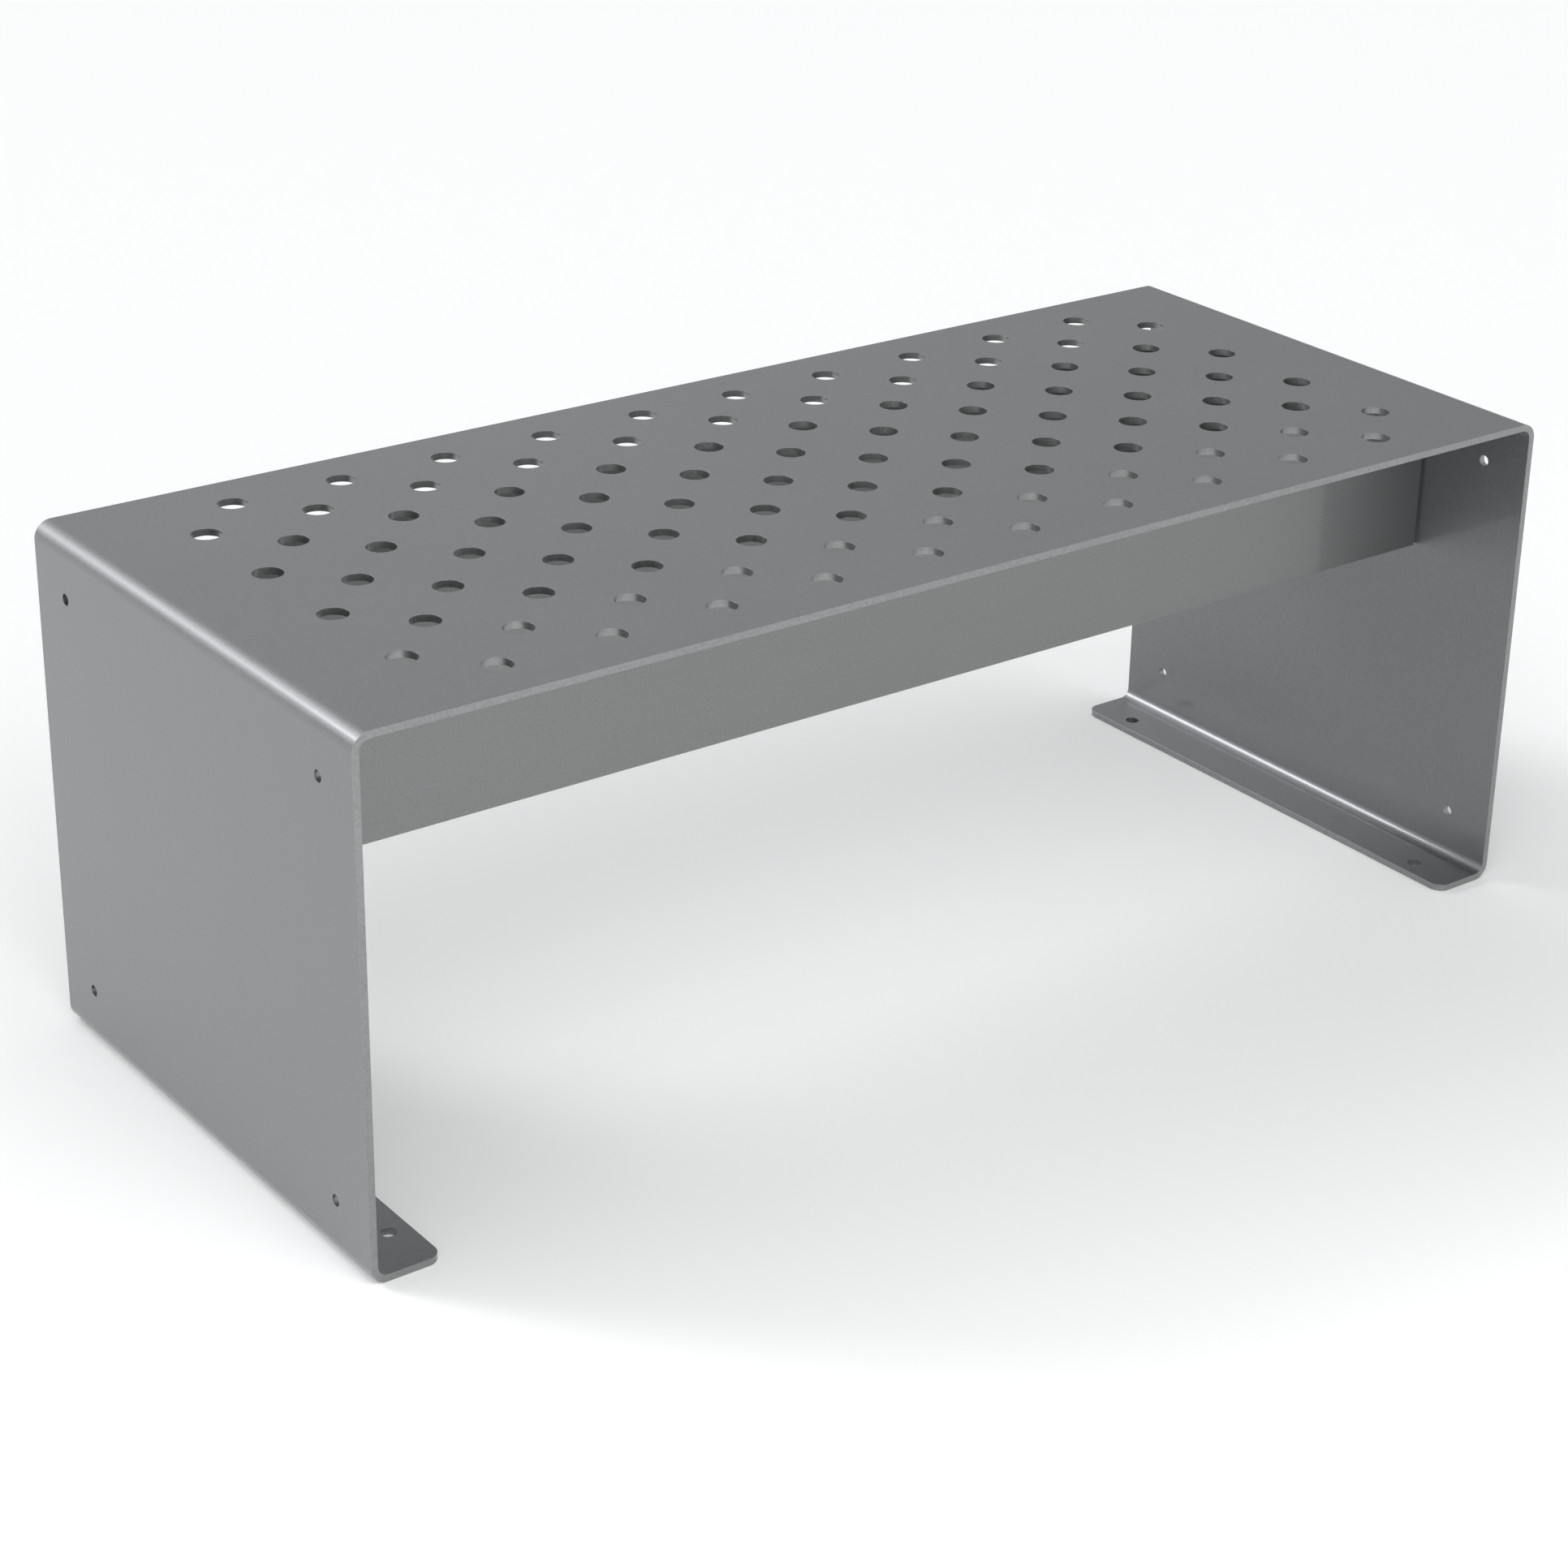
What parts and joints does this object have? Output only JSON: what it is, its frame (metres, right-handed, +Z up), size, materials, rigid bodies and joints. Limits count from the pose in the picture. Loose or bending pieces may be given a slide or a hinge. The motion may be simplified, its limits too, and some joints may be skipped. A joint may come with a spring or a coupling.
{
  "type": "perforated work platform",
  "caption": "Low free-standing work platform: a folded plate forms the perforated deck, legs and inturned feet, with flat-bar stiffeners stitch-welded under the deck.",
  "frame": {"origin": "on the floor, under the middle of the deck", "axes": "+X along the length from the left leg to the right leg, +Y from the front edge to the rear edge, +Z up"},
  "size_m": [1.2, 0.5, 0.45],
  "materials": {
    "plate_steel": "satin, slightly bluish grey, fine even grain",
    "bar_steel": "satin grey, same finish as the plate",
    "weld_metal": "as welded, rippled, brushed clean"
  },
  "bodies": {
    "root": {"folded_plate": "plate_steel", "front_stiffener": "bar_steel", "rear_stiffener": "bar_steel", "front_outer_welds": "weld_metal", "front_inner_welds": "weld_metal", "rear_inner_welds": "weld_metal", "rear_outer_welds": "weld_metal"}
  },
  "joints": []
}
